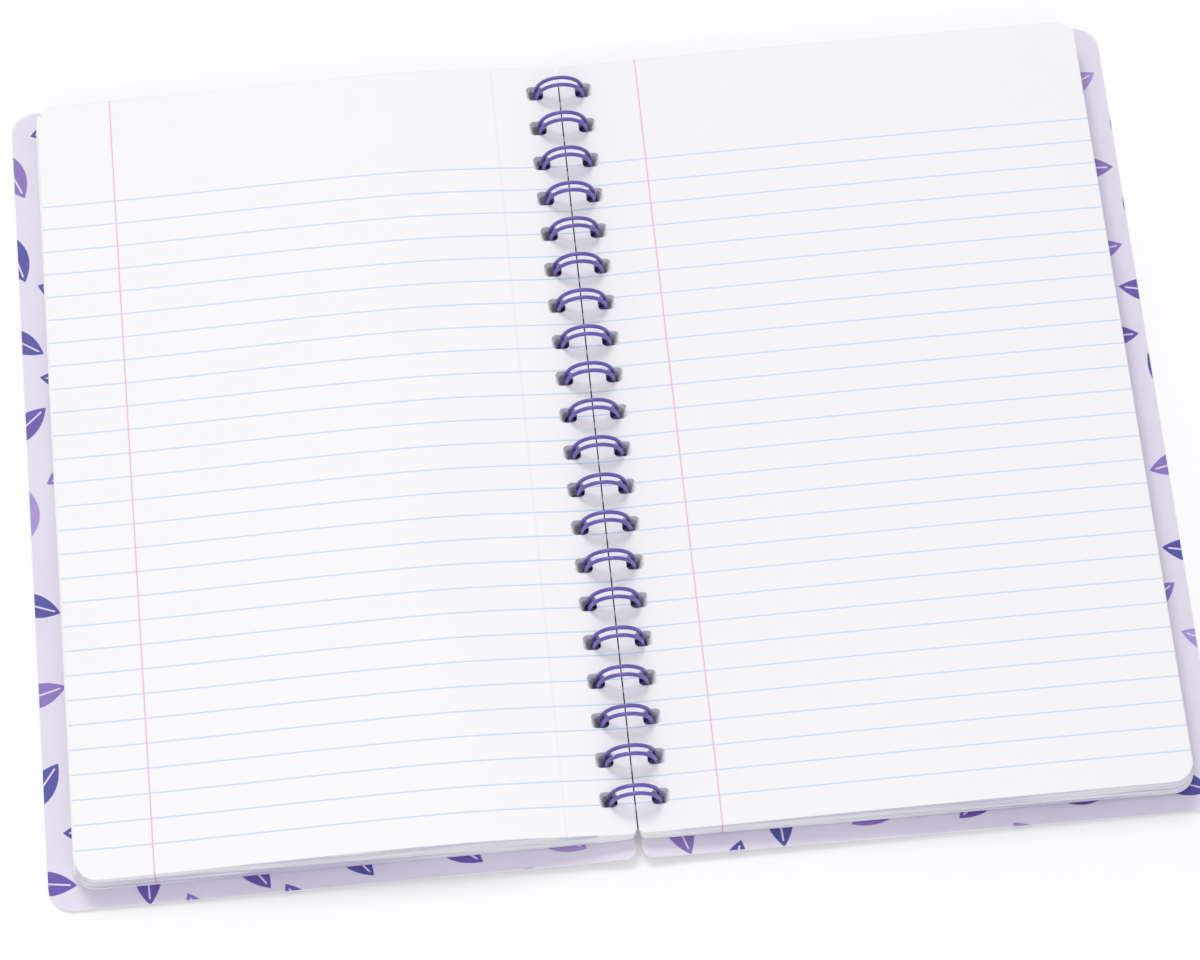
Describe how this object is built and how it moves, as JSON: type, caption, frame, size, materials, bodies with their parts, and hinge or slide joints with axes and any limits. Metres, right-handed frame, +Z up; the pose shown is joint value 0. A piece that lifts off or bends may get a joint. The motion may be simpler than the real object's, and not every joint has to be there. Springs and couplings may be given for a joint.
{
  "type": "open wire-bound notebook",
  "caption": "Open ruled notebook with rounded corners, held by a coated twin-loop wire, with both printed covers folded out flat.",
  "frame": {"origin": "middle of the spine at table level, midway between the head and foot edges of the covers", "axes": "+X across the spread to the fore edge of the unturned pages, +Y along the spine to the head of the pages, +Z up"},
  "size_m": [0.3464, 0.2704, 0.0159],
  "materials": {
    "coated_wire": "purple coating, satin",
    "printed_card": "laminated print, satin",
    "ruled_paper": "uncoated white, matt"
  },
  "bodies": {
    "binding": {"twin_loop_wire": "coated_wire"},
    "front_cover": {"front_cover": "printed_card"},
    "turned_pages": {"turned_pages": "ruled_paper"},
    "unturned_pages": {"unturned_pages": "ruled_paper"},
    "back_cover": {"back_cover": "printed_card"}
  },
  "joints": [
    {"name": "turned_pages_turn", "type": "hinge", "parent": "binding", "child": "turned_pages", "pos_m": [0, 0, 0.00799], "axis": [0, 1, 0], "range_deg": [0, 172]},
    {"name": "front_cover_turn", "type": "hinge", "parent": "binding", "child": "front_cover", "pos_m": [0, 0, 0.00799], "axis": [0, 1, 0], "range_deg": [0, 172]},
    {"name": "unturned_pages_turn", "type": "hinge", "parent": "binding", "child": "unturned_pages", "pos_m": [0, 0, 0.00799], "axis": [0, -1, 0], "range_deg": [0, 172]},
    {"name": "back_cover_turn", "type": "hinge", "parent": "binding", "child": "back_cover", "pos_m": [0, 0, 0.00799], "axis": [0, -1, 0], "range_deg": [0, 172]}
  ],
  "couplings": [
    {"joint": "front_cover_turn", "follows": "turned_pages_turn", "ratio": 1},
    {"joint": "back_cover_turn", "follows": "unturned_pages_turn", "ratio": 1}
  ]
}
